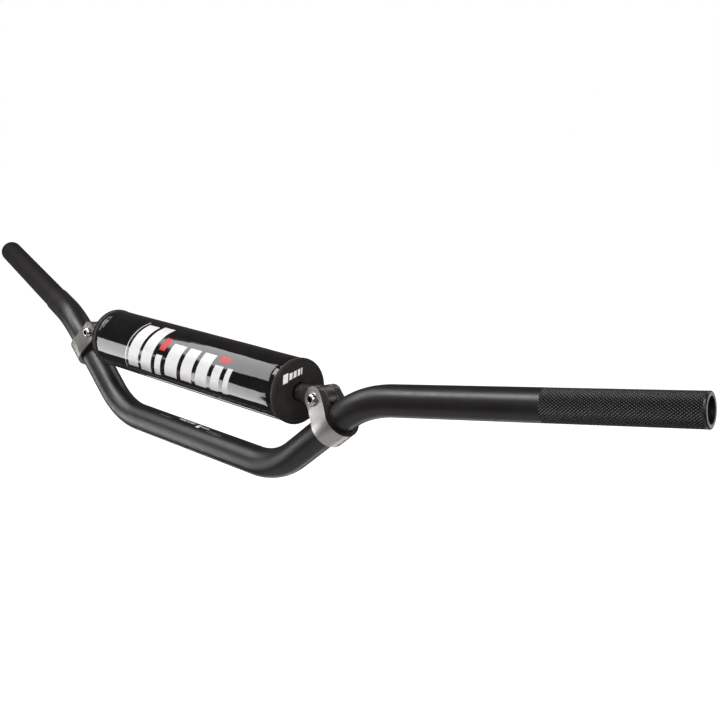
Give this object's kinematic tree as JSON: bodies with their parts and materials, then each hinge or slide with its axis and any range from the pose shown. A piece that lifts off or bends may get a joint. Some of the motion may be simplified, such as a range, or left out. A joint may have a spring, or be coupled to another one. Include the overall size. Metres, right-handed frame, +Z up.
{
  "type": "motorcycle handlebar",
  "caption": "Off-road motorcycle handlebar: bent black tube with a knurled left grip, a clamped crossbar and a round padded cover on it.",
  "frame": {"origin": "centre of the straight clamping section, on the tube's axis", "axes": "+X along the bar to the rider's left (knurled) grip, +Y back towards the rider, +Z up in the plane of the risers"},
  "size_m": [0.825, 0.09, 0.124],
  "materials": {
    "black_anodised": "black anodised, satin",
    "dark_lug": "dark grey, satin",
    "silver_aluminium": "brushed",
    "chrome_bolt": "polished chrome plate",
    "zinc_nut": "zinc plate",
    "pad_foam": "closed-cell foam",
    "gloss_vinyl": "gloss vinyl",
    "matt_fabric": "matt coated fabric",
    "grey_piping": "satin piping",
    "loop_pile": "hook-and-loop tape"
  },
  "bodies": {
    "root": {"bar_tube": "black_anodised", "crossbar_tube": "black_anodised", "crossbar_lug_left": "dark_lug", "crossbar_lug_right": "dark_lug", "clamp_collar_left": "silver_aluminium", "clamp_collar_right": "silver_aluminium", "clamp_bolt_left": "chrome_bolt", "clamp_bolt_right": "chrome_bolt", "clamp_nut_left": "zinc_nut", "clamp_nut_right": "zinc_nut"},
    "pad_core": {"pad_foam": "pad_foam"},
    "pad_shell": {"pad_cover": "gloss_vinyl", "pad_closure_flap": "gloss_vinyl", "pad_loop_strip": "loop_pile", "pad_hook_strip": "loop_pile", "pad_end_cap_left": "matt_fabric", "pad_end_cap_right": "matt_fabric", "pad_piping_left": "grey_piping", "pad_piping_right": "grey_piping"}
  },
  "joints": [
    {"name": "pad_slide", "type": "slide", "parent": "root", "child": "pad_core", "axis": [1, 0, 0], "range_m": [-0.0095, 0.007]},
    {"name": "pad_turn", "type": "hinge", "parent": "pad_core", "child": "pad_shell", "pos_m": [0, 0, 0.0614], "axis": [1, 0, 0], "continuous": true}
  ]
}
